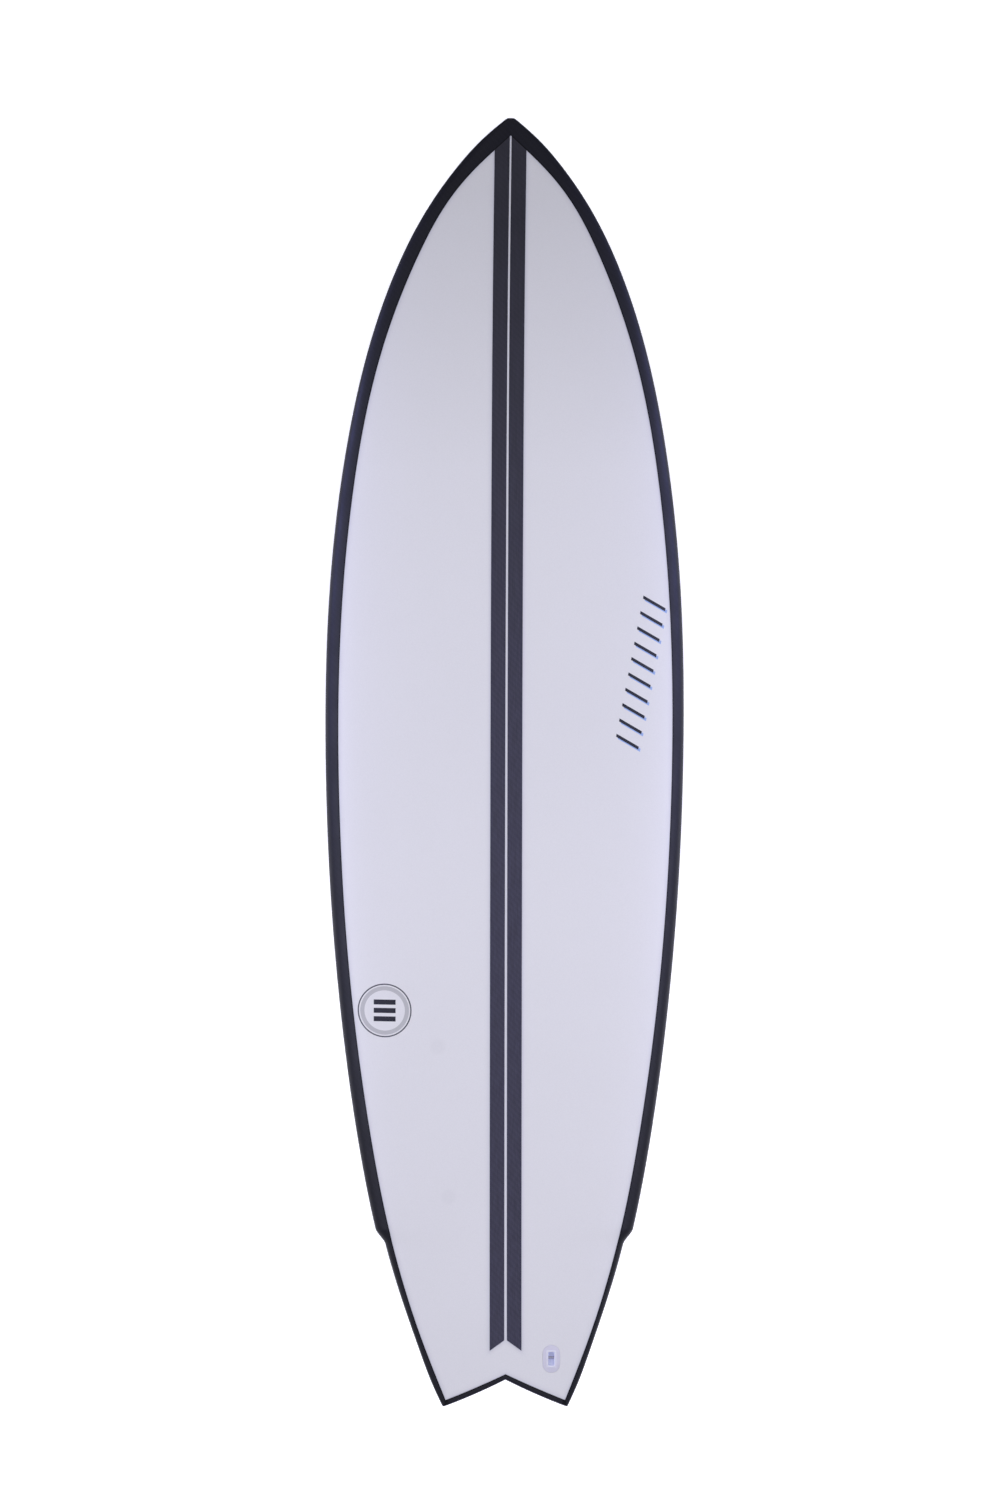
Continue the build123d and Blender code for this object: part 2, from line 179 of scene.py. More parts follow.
def arc_through(points, share):
    """Points along the circular arc through three points, share 0 to 1 along X."""
    (ax, ay), (bx, by), (cx, cy) = points
    d = 2 * (ax * (by - cy) + bx * (cy - ay) + cx * (ay - by))
    sa, sb, sc = ax * ax + ay * ay, bx * bx + by * by, cx * cx + cy * cy
    ox = (sa * (by - cy) + sb * (cy - ay) + sc * (ay - by)) / d
    oy = (sa * (cx - bx) + sb * (ax - cx) + sc * (bx - ax)) / d
    radius = np.hypot(ax - ox, ay - oy)
    x = ax + (cx - ax) * np.asarray(share, float)
    side = 1 if ay > oy else -1
    return np.stack([x, oy + side * np.sqrt(radius ** 2 - (x - ox) ** 2)], -1)


def edge_distance(x, y):
    """Distance inside the rail wrap's inner edge, in metres; negative on the wrap."""
    y = np.maximum(y, PANEL_LINE[0][0])
    slope = (panel_width(y + 1) - panel_width(y - 1)) / 2
    side = (panel_width(y) - np.abs(x)) / np.hypot(1, slope)
    share = np.minimum(np.abs(x) / PANEL_NOTCH[2][0], 1)
    back = (y - arc_through(PANEL_NOTCH, share)[..., 1]) * 0.9
    return np.minimum(side, back) * MM


def tape_distance(x, y):
    """Distance outside the nearest carbon tape, in metres; negative under it."""
    middle, half = (TAPE_INNER + TAPE_OUTER) / 2, (TAPE_OUTER - TAPE_INNER) / 2
    ends = np.interp(np.abs(x), (TAPE_INNER, TAPE_OUTER), TAPE_TAIL)
    beside = np.abs(np.abs(x) - middle) - half
    return np.maximum(beside, (ends - y) * 0.85) * MM


def to_row(points):
    """Board frame in millimetres to the row frame in metres."""
    p = np.asarray(points, float) * MM
    c, s = cos(REST_PITCH), sin(REST_PITCH)
    y, z = p[..., 1], p[..., 2]
    return np.stack([p[..., 0], c * y - s * z + REST_SHIFT[0], s * y + c * z + REST_SHIFT[1]], -1)


def to_board(points):
    """Row frame in metres back to the board frame in millimetres."""
    p = np.asarray(points, float) - (0, *REST_SHIFT)
    c, s = cos(REST_PITCH), sin(REST_PITCH)
    y, z = p[..., 1], p[..., 2]
    return np.stack([p[..., 0], c * y + s * z, -s * y + c * z], -1) / MM


# ---------------------------------------------------------------- mesh helpers
def grid_faces(rows, columns, start=0, flip=False, wrap=False):
    """Quads of a grid of points; wrap closes each row on itself."""
    faces = []
    for r in range(rows - 1):
        for c in range(columns if wrap else columns - 1):
            d = (c + 1) % columns
            quad = (start + r * columns + c, start + r * columns + d,
                    start + (r + 1) * columns + d, start + (r + 1) * columns + c)
            faces.append(quad[::-1] if flip else quad)
    return faces


def new_piece(name, points, faces):
    """A mesh object from board-frame points."""
    mesh = bpy.data.meshes.new(name)
    mesh.from_pydata(to_row(points).reshape(-1, 3).tolist(), [], faces)
    tidy = bmesh.new()
    tidy.from_mesh(mesh)
    bmesh.ops.remove_doubles(tidy, verts=tidy.verts, dist=2e-6)
    bmesh.ops.dissolve_degenerate(tidy, edges=tidy.edges, dist=1e-6)
    tidy.to_mesh(mesh)
    tidy.free()
    piece = bpy.data.objects.new(name, mesh)
    bpy.context.scene.collection.objects.link(piece)
    return piece


def bake(piece):
    """Turn the piece's modifiers into plain mesh."""
    bpy.context.view_layer.update()
    graph = bpy.context.evaluated_depsgraph_get()
    mesh = bpy.data.meshes.new_from_object(piece.evaluated_get(graph))
    piece.modifiers.clear()
    piece.data = mesh
    mesh.name = piece.name
    return piece


def thicken(piece, amount):
    solid = piece.modifiers.new("thickness", "SOLIDIFY")
    solid.thickness = amount * MM
    solid.offset = -1
    return bake(piece)


def cut(piece, cutter):
    """Cut another closed mesh out of the piece and remove the cutter."""
    knife = piece.modifiers.new("cut", "BOOLEAN")
    knife.operation = "DIFFERENCE"
    knife.solver = "EXACT"
    knife.object = cutter
    bake(piece)
    bpy.data.objects.remove(cutter)


def mark(piece, name, value):
    """Store a value for the material at each vertex, worked out from board coordinates."""
    flat = np.empty(len(piece.data.vertices) * 3, np.float32)
    piece.data.vertices.foreach_get("co", flat)
    x, y, _ = to_board(flat.reshape(-1, 3)).T
    layer = piece.data.attributes.new(name, "FLOAT", "POINT")
    layer.data.foreach_set("value", np.asarray(value(x, y), np.float32))


def place(piece, material, replaces, body="board", sharp=35):
    """Shade a finished piece, fasten it to its body and hide the CAD nodes it stands for."""
    piece.data.materials.clear()
    piece.data.materials.append(material)
    piece.data.shade_smooth()
    piece.data.set_sharp_from_angle(angle=radians(sharp))
    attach(piece, body)
    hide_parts(*replaces)


def ring_stack(name, rings):
    """Closed mesh through a list of rings with the same number of points."""
    count = len(rings[0])
    points = np.concatenate([np.asarray(ring, float) for ring in rings])
    faces = grid_faces(len(rings), count, wrap=True)
    last = (len(rings) - 1) * count
    faces.append(tuple(range(count))[::-1])
    faces.append(tuple(range(last, last + count)))
    piece = new_piece(name, points, faces)
    tidy = bmesh.new()
    tidy.from_mesh(piece.data)
    bmesh.ops.recalc_face_normals(tidy, faces=tidy.faces)
    tidy.to_mesh(piece.data)
    tidy.free()
    return piece


def rounded_ring(half_x, half_y, corner, count=128):
    """Plan outline of a rounded rectangle, met by rays from its centre."""
    angles = np.linspace(0, 2 * pi, count, endpoint=False)
    ux, uy = np.cos(angles), np.sin(angles)
    inner_x, inner_y = half_x - corner, half_y - corner
    points = []
    for dx, dy in zip(ux, uy):
        along = abs(dx) * inner_x + abs(dy) * inner_y
        reach = along + np.sqrt(max(along ** 2 - inner_x ** 2 - inner_y ** 2 + corner ** 2, 0))
        if abs(dx) > 1e-9 and abs(dy / dx) * half_x <= inner_y:
            reach = half_x / abs(dx)
        elif abs(dy) > 1e-9 and abs(dx / dy) * half_y <= inner_x:
            reach = half_y / abs(dy)
        points.append((dx * reach, dy * reach))
    return np.array(points)


# ---------------------------------------------------------------- laminates
def panel_grid(rows=330, tail_rows=16, columns=97):
    """Plan positions of a grid over the panel inside the rail wraps, tail to nose."""
    across = np.linspace(-1, 1, columns)
    front = 60.0
    back_line = arc_through(PANEL_NOTCH, np.abs(across))
    back = np.stack([np.sign(across) * back_line[:, 0], back_line[:, 1] - WRAP_LAP], -1)
    start = np.stack([across * (panel_width(front) + WRAP_LAP), np.full(columns, front)], -1)
    share = np.linspace(0, 1, tail_rows, endpoint=False)[:, None, None]
    tail = back * (1 - share) + start * share
    # the outline's own line, not a chord, bounds the tail rows
    widths = panel_width(np.maximum(tail[..., 1], PANEL_LINE[0][0])) + WRAP_LAP
    tail[:, 0, 0], tail[:, -1, 0] = -widths[:, 0], widths[:, -1]
    run = np.linspace(0, 1, rows)
    stations = front + (PANEL_LINE[-1][0] - front) * (1 - (1 - run) ** 1.15)
    body = np.stack([across[None] * (panel_width(stations)[:, None] + WRAP_LAP),
                     np.repeat(stations[:, None], columns, 1)], -1)
    return np.concatenate([tail, body])


def laminate(name, height, flip):
    """Skin over the whole panel, following the deck or the bottom."""
    plan = panel_grid()
    points = np.concatenate([plan, height(plan[..., 0], plan[..., 1])[..., None]], -1)
    piece = new_piece(name, points.reshape(-1, 3), grid_faces(*plan.shape[:2], flip=flip))
    return thicken(piece, SKIN)


def edge_marked(piece):
    mark(piece, "edge", edge_distance)
    mark(piece, "tape", tape_distance)
    return piece


def at_level(plan, level):
    return np.concatenate([plan, np.full((len(plan), 1), level)], 1)


def moved(points, matrix):
    return (np.concatenate([points, np.ones((len(points), 1))], 1) @ np.array(matrix).T)[:, :3]


def block(name, ring, matrix, reach):
    """Straight cutter with a plan outline, placed by a matrix in the board frame."""
    return ring_stack(name, [moved(at_level(ring, level), matrix) for level in (-reach, reach)])


def plug_frame():
    """Where the leash plug's top centre lies in the board frame."""
    return Matrix.Translation((PLUG_X, PLUG_Y, float(deck_height(PLUG_X, PLUG_Y))))


def fin_frame():
    """Where the right fin's base lies in the board frame, canted and toed in."""
    slope = atan2(float(rocker(FIN_Y + 1) - rocker(FIN_Y - 1)), 2)
    lift = float(rocker(FIN_Y) + 0.04 * thickness(FIN_Y))
    return (Matrix.Translation((FIN_X, FIN_Y, lift)) @ Matrix.Rotation(radians(FIN_TOE), 4, "Z")
            @ Matrix.Rotation(slope, 4, "X") @ Matrix.Rotation(radians(-FIN_CANT), 4, "Y"))


MIRROR = Matrix.Diagonal((-1, 1, 1, 1))


def make_skins(material_deck, material_bottom):
    """Deck skin with the plug's opening, bottom skin with the fin boxes' openings."""
    deck = laminate("deck_skin", deck_height, False)
    plug = rounded_ring(PLUG_WIDTH / 2, PLUG_LENGTH / 2, PLUG_WIDTH / 2)
    cut(deck, block("plug_cutter", plug, plug_frame(), 20))
    place(edge_marked(deck), material_deck, ["deck_laminate"])
    bottom = laminate("bottom_skin", bottom_height, True)
    hole = rounded_ring(BOX_WIDTH / 2, BOX_LENGTH / 2, BOX_WIDTH / 2) + (0, BOX_SHIFT)
    for side in (Matrix.Identity(4), MIRROR):
        cut(bottom, block("box_cutter", hole, side @ fin_frame(), 15))
    place(edge_marked(bottom), material_bottom, ["bottom_laminate"])


def perimeter():
    """Matching points of the outer outline and the panel's edge, right half, apex to nose."""
    share = 1 - np.linspace(1, 0, 60) ** 1.6
    tip_share = TAIL_TIP / NOTCH[2][0]
    outer = arc_through(NOTCH, share * tip_share)
    inner = arc_through(PANEL_NOTCH, share)
    tip = arc_through(NOTCH, tip_share)
    keep = np.hypot(*(outer - tip).T) > TIP_ROUND
    outer, inner = outer[keep], inner[keep]
    stations = np.concatenate([np.linspace(TIP_ROUND, 218, 110), np.linspace(219, 250, 44),
                               np.linspace(252, 1650, 380), np.linspace(1653, NOSE_Y, 70)])
    side = np.stack([half_width(stations), stations], -1)
    t = np.linspace(0, 1, 9)[1:-1, None]
    start, end = outer[-1], side[0]
    corner = start * (1 - t) ** 2 + 2 * tip * t * (1 - t) + end * t ** 2
    x = NOSE_X * np.linspace(1, 0, 26)[1:]
    cut_off = NOSE_SLOPE * np.array([NOSE_X, *x]) - NOSE_CORNER
    cut_off = (cut_off + np.hypot(cut_off, NOSE_ROUND)) / 2
    crown = NOSE_Y + cut_off[0] - cut_off[1:]
    nose = np.stack([x, crown], -1)
    front, back = PANEL_LINE[-1][0], PANEL_LINE[0][0]
    run = np.concatenate([stations, crown])
    run = back + (run - run[0]) / (run[-1] - run[0]) * (front - back)
    inner_side = np.stack([panel_width(run), run], -1)
    inner_corner = np.repeat(inner_side[:1], len(corner), 0)
    return (np.concatenate([outer, corner, side, nose]),
            np.concatenate([inner, inner_corner, inner_side]))


def rail_points():
    """Grid over the right rail wrap: around the outline, and over the rail at each step."""
    outer, inner = perimeter()
    reach = inner - outer
    length = np.hypot(*reach.T)[:, None]
    inward = reach / length
    wall = deck_height(*outer.T) - bottom_height(*outer.T)
    soft_round = np.minimum(RAIL_ROUND, RAIL_ROUND_SHARE * wall)
    hard_round = np.minimum(HARD_ROUND, HARD_ROUND_SHARE * wall)
    top_round = soft_round[:, None]
    low_round = np.where(outer[:, 1] < HARD_END, hard_round, soft_round)[:, None]

    def lay(distance, height):
        plan = outer[:, None] + inward[:, None] * distance[..., None]
        return np.concatenate([plan, height(plan[..., 0], plan[..., 1])[..., None]], -1)

    flat = np.linspace(1, 0, 26)[None] ** 2
    turn = np.linspace(0, pi / 2, 7)[None]
    lift = WRAP_RAISE * (1 - (1 - flat) ** 8)
    top = lay(top_round + (length - top_round) * flat, deck_height)
    top[..., 2] += lift
    edge = lay(top_round, deck_height)[:, :, 2]
    arc = lay(top_round * (1 - np.sin(turn)), deck_height)
    arc[..., 2] = edge - top_round * (1 - np.cos(turn))
    low_edge = lay(low_round, bottom_height)[:, :, 2]
    low_arc = lay(low_round * (1 - np.sin(turn[:, ::-1])), bottom_height)
    low_arc[..., 2] = low_edge + low_round * (1 - np.cos(turn[:, ::-1]))
    low = lay(low_round + (length - low_round) * flat[:, ::-1], bottom_height)
    low[..., 2] -= lift[:, ::-1]
    return np.concatenate([top, arc, low_arc, low], 1)


def make_rails(material):
    """The two rail wraps, each one sheet folded round its rail."""
    points = rail_points()
    faces = grid_faces(*points.shape[:2])
    for side, name in ((1, "right"), (-1, "left")):
        mirrored = points * (side, 1, 1)
        quads = faces if side > 0 else [quad[::-1] for quad in faces]
        rail = new_piece("rail_" + name, mirrored.reshape(-1, 3), quads)
        edge_marked(thicken(rail, SKIN))
        place(rail, material, ["rail_wrap_" + name], sharp=50)


def make_tapes(material):
    """The woven tapes either side of the stringer, on the deck and the bottom."""
    rows, columns = 420, 11
    across = np.linspace(0, 1, columns)[None]
    along = np.linspace(0, 1, rows)[:, None]
    front = np.linspace(PANEL_LINE[-1][0], PANEL_LINE[-1][0] - 60, 200)
    ends = np.interp(across * (TAPE_OUTER - TAPE_INNER) + TAPE_INNER, panel_width(front), front)
    ends = ends + WRAP_LAP
    tails = TAPE_TAIL[0] + (TAPE_TAIL[1] - TAPE_TAIL[0]) * across
    y = tails + (ends - tails) * along
    inner = TAPE_INNER + (TAPE_INNER_NOSE - TAPE_INNER) * y / LENGTH
    x = inner + (TAPE_OUTER - inner) * across
    total = rows * columns
    faces = grid_faces(rows, columns) + grid_faces(rows, columns, start=total, flip=True)
    rim = [*zip([0] * columns, range(columns)), *zip(range(1, rows), [columns - 1] * rows),
           *zip([rows - 1] * columns, range(columns - 2, -1, -1)),
           *zip(range(rows - 2, 0, -1), [0] * rows)]
    for (r, c), (r2, c2) in zip(rim, rim[1:] + rim[:1]):
        a, b = r * columns + c, r2 * columns + c2
        faces.append((b, a, a + total, b + total))
    for face, height, up in (("deck", deck_height, 1), ("bottom", bottom_height, -1)):
        base = height(x, y)
        for side, name in ((1, "right"), (-1, "left")):
            layers = [np.stack([side * x, y, base + up * level], -1).reshape(-1, 3)
                      for level in (TAPE_RAISE, TAPE_SINK)]
            quads = faces if side * up > 0 else [quad[::-1] for quad in faces]
            tape = new_piece(f"{face}_tape_{name}", np.concatenate(layers), quads)
            place(tape, material, [f"{face}_carbon_strip_{name}"])


# ---------------------------------------------------------------- leash plug and fins
def make_plug(material):
    """Oblong cup: flush body, raised lip round the slot, hollow with a floor."""
    def ring(half_x, half_y, corner, level, on_deck=True):
        plan = rounded_ring(half_x, half_y, corner) + (PLUG_X, PLUG_Y)
        base = deck_height(plan[:, 0], plan[:, 1])
        if not on_deck:
            base = np.full(len(plan), float(deck_height(PLUG_X, PLUG_Y)))
        return np.concatenate([plan, (base + level)[:, None]], 1)

    half_x, half_y = PLUG_WIDTH / 2 - PLUG_CLEARANCE, PLUG_LENGTH / 2 - PLUG_CLEARANCE
    lip_x, lip_y = SLOT_WIDTH / 2 + LIP, SLOT_LENGTH / 2 + LIP
    slot_x, slot_y = SLOT_WIDTH / 2, SLOT_LENGTH / 2
    rings = [ring(half_x, half_y, half_x, -PLUG_DEPTH, False),
             ring(half_x, half_y, half_x, -0.45),
             ring(half_x - 0.15, half_y - 0.15, half_x - 0.15, -0.12),
             ring(half_x - 0.5, half_y - 0.5, half_x - 0.5, 0.02),
             ring(lip_x + 1.6, lip_y + 1.6, 4.2, 0.05),
             ring(lip_x + 0.5, lip_y + 0.5, 3.4, 0.12),
             ring(lip_x, lip_y, 3.0, 0.40),
             ring(lip_x - 0.4, lip_y - 0.4, 2.7, LIP_HEIGHT),
             ring(slot_x + 0.9, slot_y + 0.9, 2.2, LIP_HEIGHT),
             ring(slot_x + 0.25, slot_y + 0.25, 1.7, LIP_HEIGHT - 0.25),
             ring(slot_x, slot_y, 1.5, LIP_HEIGHT - 0.9),
             ring(slot_x, slot_y, 1.5, -SLOT_DEPTH + 1.5, False),
             ring(slot_x - 0.5, slot_y - 0.5, 1.4, -SLOT_DEPTH + 0.4, False),
             ring(slot_x - 1.5, slot_y - 1.5, 1.2, -SLOT_DEPTH, False)]
    plug = ring_stack("leash_cup", rings)

    def inside(reach_x, reach_y):
        return lambda x, y: (np.abs(x - PLUG_X) < reach_x) & (np.abs(y - PLUG_Y) < reach_y)

    mark(plug, "lip", inside(lip_x + 0.1, lip_y + 0.1))
    mark(plug, "slot", inside(slot_x + 0.1, slot_y + 0.1))
    place(plug, material, ["leash_plug_cup"], sharp=50)


def foil_ring(u, half=40):
    """Closed foil section of the fin at a fraction of its depth, in the fin's frame."""
    front = FIN_BASE / 2 - FIN_RAKE * u - FIN_SWEEP * (1 - np.sqrt(1 - u * u))
    back = -FIN_BASE / 2 + 10 * sin(pi * u) - FIN_TIP * u * u
    chord = front - back
    thick = TIP_THICK + (FIN_THICK - TIP_THICK) * (1 - u) ** 0.7
    flat = -TAB_WIDTH / 2
    bulge = flat + FIN_BULGE * thick
    t = (1 - np.cos(np.linspace(0, pi, half))) / 2
    x = bezier(t, flat + 0.15, bulge, bulge, flat + FIN_EDGE)
    y = bezier(t, front, front - 0.02 * chord, front - 0.55 * chord, back)
    rise = np.minimum(1, np.linspace(0, 1, half - 2) * 12)
    return section(x, y, flat + 0.12 * (1 - rise[::-1]), -FIN_GAP - FIN_DEPTH * u)


def section(x, y, back_x, z):
    """Close a section's first side with its other side, walked back to the front."""
    loop = np.concatenate([np.stack([x, y], -1), np.stack([back_x, y[::-1][1:-1]], -1)])
    return at_level(loop, z)


def tab_ring(z, shrink=0.0, half=40):
    """Section of the tab, sampled as the foil is."""
    t = (1 - np.cos(np.linspace(0, pi, half))) / 2
    reach, width = TAB_LENGTH / 2 - shrink, TAB_WIDTH / 2 - shrink
    y = reach * (1 - 2 * t)
    x = width * np.minimum(1, np.sqrt(np.clip((reach - np.abs(y)) / 1.2, 0, 1)))
    return section(x, y, -x[::-1][1:-1], z)


def make_fins(material):
    """Each fin with its tab as one closed foil, from the tab's end to the tip."""
    depths = 1 - (1 - np.linspace(0, 1, 44)) ** 1.25
    rings = [tab_ring(TAB_DEPTH, 0.5), tab_ring(TAB_DEPTH - 0.5), tab_ring(-FIN_GAP + 0.02)]
    rings += [foil_ring(0.985 * u) for u in depths]
    for side, name in ((1, "right"), (-1, "left")):
        placed = [moved(ring, fin_frame()) * (side, 1, 1) for ring in rings]
        fin = ring_stack("fin_blade_" + name, placed)
        place(fin, material, ["fin_" + name], "fin_" + name, sharp=40)


# ---------------------------------------------------------------- materials
class Material:
    """A node material with short helpers; every pattern uses object coordinates."""

    def __init__(self, name):
        self.material = bpy.data.materials.new(name)
        self.material.use_nodes = True
        self.tree = self.material.node_tree
        self.shader = self.tree.nodes["Principled BSDF"]
        self.place = self.add("ShaderNodeTexCoord").outputs["Object"]

    def add(self, kind, inputs=None, **settings):
        node = self.tree.nodes.new(kind)
        for key, value in settings.items():
            setattr(node, key, value)
        for key, value in (inputs or {}).items():
            self.put(node.inputs[key], value)
        return node

    def put(self, socket, value):
        if isinstance(value, bpy.types.NodeSocket):
            self.tree.links.new(value, socket)
        else:
            socket.default_value = value

    def set(self, **inputs):
        for key, value in inputs.items():
            self.put(self.shader.inputs[key.replace("_", " ")], value)

    def attribute(self, name):
        return self.add("ShaderNodeAttribute", attribute_name=name).outputs["Fac"]

    def near(self, distance, reach, amount):
        """Amount at distance 0, fading away over the reach."""
        share = self.math("DIVIDE", self.math("MAXIMUM", distance, 0.0), -reach)
        return self.math("MULTIPLY", self.math("EXPONENT", share), amount)

    def within(self, value, half):
        return self.math("LESS_THAN", self.math("ABSOLUTE", value), half)

    def local(self, spot, angle, shift=(0.0, 0.0)):
        """Coordinates about a spot on the deck, turned by an angle."""
        middle = deck_point(*spot)
        x, y, _ = self.axes()
        x = self.math("SUBTRACT", x, float(middle[0]) + shift[0])
        y = self.math("SUBTRACT", y, float(middle[1]) + shift[1])
        c, s = cos(angle), sin(angle)
        u = self.math("MULTIPLY_ADD", x, c, self.math("MULTIPLY", y, s))
        v = self.math("MULTIPLY_ADD", y, c, self.math("MULTIPLY", x, -s))
        return u, v

    def math(self, operation, *values):
        node = self.add("ShaderNodeMath", operation=operation)
        for i, value in enumerate(values):
            self.put(node.inputs[i], value)
        return node.outputs[0]

    def times(self, first, *others):
        for other in others:
            first = self.math("MULTIPLY", first, other)
        return first

    def axes(self):
        parts = self.add("ShaderNodeSeparateXYZ", {"Vector": self.place}).outputs
        return parts["X"], parts["Y"], parts["Z"]

    def stretch(self, x, y, z):
        return self.add("ShaderNodeMapping", {"Vector": self.place, "Scale": (x, y, z)}).outputs[0]

    def noise(self, scale, detail=3.0, roughness=0.5, vector=None):
        return self.add("ShaderNodeTexNoise", {
            "Vector": self.place if vector is None else vector, "Scale": scale,
            "Detail": detail, "Roughness": roughness}).outputs["Fac"]

    def cells(self, scale):
        """Distance to the nearest wall of a foam of cells."""
        return self.add("ShaderNodeTexVoronoi", {"Vector": self.place, "Scale": scale},
                        feature="DISTANCE_TO_EDGE").outputs["Distance"]

    def ramp(self, value, low, high, out_low=0.0, out_high=1.0):
        node = self.add("ShaderNodeMapRange", {"Value": value, "From Min": low, "From Max": high,
                                               "To Min": out_low, "To Max": out_high})
        return node.outputs["Result"]

    def mix(self, factor, a, b):
        node = self.add("ShaderNodeMix", data_type="RGBA")
        for key, value in ((0, factor), (6, a), (7, b)):
            self.put(node.inputs[key], value)
        return node.outputs[2]

    def scale_colour(self, tint, factor):
        node = self.add("ShaderNodeVectorMath", operation="SCALE")
        self.put(node.inputs[0], tint[:3] if isinstance(tint, tuple) else tint)
        self.put(node.inputs["Scale"], factor)
        return node.outputs[0]

    def bump(self, height, distance, strength=1.0, normal=None):
        node = self.add("ShaderNodeBump", {"Height": height, "Distance": distance,
                                           "Strength": strength})
        if normal is not None:
            self.put(node.inputs["Normal"], normal)
        return node.outputs["Normal"]

    def plain_weave(self, pitch):
        """Height of a plain weave, 0 to 1, with threads along X and Y."""
        x, y, _ = self.axes()
        wave_x = self.math("SINE", self.math("MULTIPLY", x, 2 * pi / pitch))
        wave_y = self.math("SINE", self.math("MULTIPLY", y, 2 * pi / pitch))
        return self.math("MULTIPLY_ADD", self.math("MULTIPLY", wave_x, wave_y), 0.5, 0.5)

    def twill(self, tow):
        """0 where the lengthwise tow of a 2x2 twill lies on top, 1 where the cross one does."""
        x, y, _ = self.axes()
        column = self.math("FLOOR", self.math("DIVIDE", x, tow))
        row = self.math("FLOOR", self.math("DIVIDE", y, tow))
        step = self.math("FLOORED_MODULO", self.math("ADD", column, row), 4.0)
        return self.math("GREATER_THAN", step, 1.5)


def colour(r, g, b):
    return (r, g, b, 1.0)


def deck_point(x, y):
    return to_row((x, y, float(deck_height(x, y))))


INK = colour(0.012, 0.012, 0.022)


def skin_material(name, tone, marked):
    """Clear laminate over white foam: faint beads and cloth, sanded satin finish."""
    m = Material(name)
    beads = m.ramp(m.cells(230.0), 0.0, 0.12, 0.985, 1.0)
    cloud = m.ramp(m.noise(2.6, 4.0), 0.3, 0.7, 0.985, 1.012)
    grain = m.ramp(m.noise(900.0, 2.0), 0.3, 0.7, 0.985, 1.015)
    base = m.scale_colour(colour(*tone), m.times(beads, cloud, grain))
    base = m.scale_colour(base, m.ramp(m.axes()[1], 0.40, 0.78, 1.0, 0.84))   # painted shade: darker to the nose, where less light falls
    # darker and bluer close beside the dark wraps and tapes
    for distance in ("edge", "tape"):
        base = m.mix(m.near(m.attribute(distance), 0.0021, 0.26), base, colour(0.05, 0.06, 0.22))
    if marked:
        for spot in SMUDGES:
            away = m.add("ShaderNodeVectorMath", operation="DISTANCE")
            m.put(away.inputs[0], m.place)
            m.put(away.inputs[1], tuple(deck_point(*spot)))
            base = m.scale_colour(base, m.ramp(away.outputs["Value"], 0.007, 0.013, 0.965, 1.0))
        base = bar_mark(m, ring_mark(m, base))
    scratches = m.noise(60.0, 5.0, 0.6, m.stretch(1.0, 9.0, 1.0))
    weave = m.bump(m.plain_weave(0.0011), 0.00003, 0.5)
    m.set(Base_Color=base, Roughness=m.ramp(scratches, 0.3, 0.7, 0.36, 0.48),
          Specular_IOR_Level=0.35, Normal=m.bump(m.noise(9.0, 2.0), 0.0006, 0.25, weave))
    return m.material


def ring_mark(m, base):
    """Plain ring mark: a circle within a circle round three short bars."""
    u, v = m.local(RING_MARK, 0.0)
    radius = m.math("SQRT", m.math("ADD", m.math("POWER", u, 2.0), m.math("POWER", v, 2.0)))
    for ring, half, ink in ((0.036, 0.0009, 0.9), (0.0305, 0.0028, 0.35)):
        line = m.within(m.math("SUBTRACT", radius, ring), half)
        base = m.mix(m.math("MULTIPLY", line, ink), base, INK)
    bars = m.math("MULTIPLY", m.within(u, 0.015), m.within(v, 0.015))
    gap = m.math("FRACT", m.math("DIVIDE", m.math("ADD", v, 0.015), 0.0115))
    return m.mix(m.math("MULTIPLY", bars, m.math("LESS_THAN", gap, 0.6)), base, INK)


def bar_mark(m, base):
    """Plain row of slanted bars, each with a pale blue shadow."""
    for shift, ink in (((0.0024, -0.0030), colour(0.30, 0.42, 0.66)), ((0.0, 0.0), INK)):
        u, v = m.local(BAR_MARK, radians(-11.0), shift)
        lean = m.math("MULTIPLY_ADD", u, 0.35, v)
        row = m.math("MULTIPLY", m.within(lean, 0.108), m.within(u, 0.017))
        gap = m.math("FRACT", m.math("ADD", m.math("DIVIDE", lean, 0.0215), 7.5))
        base = m.mix(m.math("MULTIPLY", row, m.math("LESS_THAN", gap, 0.2)), base, ink)
    return base


def rail_material():
    """Black pigmented laminate, sanded: darker along its inner edge, with painted shade making it
    less shiny at the nose.
    """
    m = Material("rail_black")
    drift = m.ramp(m.noise(3.5, 3.0), 0.3, 0.7, 0.9, 1.12)
    base = m.mix(m.twill(0.0022), colour(0.0036, 0.0036, 0.0075), colour(0.0046, 0.0046, 0.0090))
    dust = m.ramp(m.noise(700.0, 2.0), 0.62, 0.75, 0.0, 0.06)
    base = m.mix(dust, m.scale_colour(base, drift), colour(0.06, 0.06, 0.075))
    inner = m.ramp(m.math("ABSOLUTE", m.attribute("edge")), 0.0008, 0.0018)
    base = m.mix(inner, m.scale_colour(base, 0.25), base)
    haze = m.ramp(m.noise(22.0, 5.0, 0.6), 0.3, 0.7, 0.38, 0.50)
    # painted shade: the specular level falls towards the nose, where less light is reflected
    nose_shade = m.ramp(m.axes()[1], 0.45, 0.8, 1.0, 0.62)
    shine = m.times(m.ramp(inner, 0.0, 1.0, 0.18, 0.29), nose_shade)
    m.set(Base_Color=base, Roughness=haze, Normal=m.bump(m.plain_weave(0.0022), 0.00004, 0.3),
          Specular_IOR_Level=shine)
    return m.material


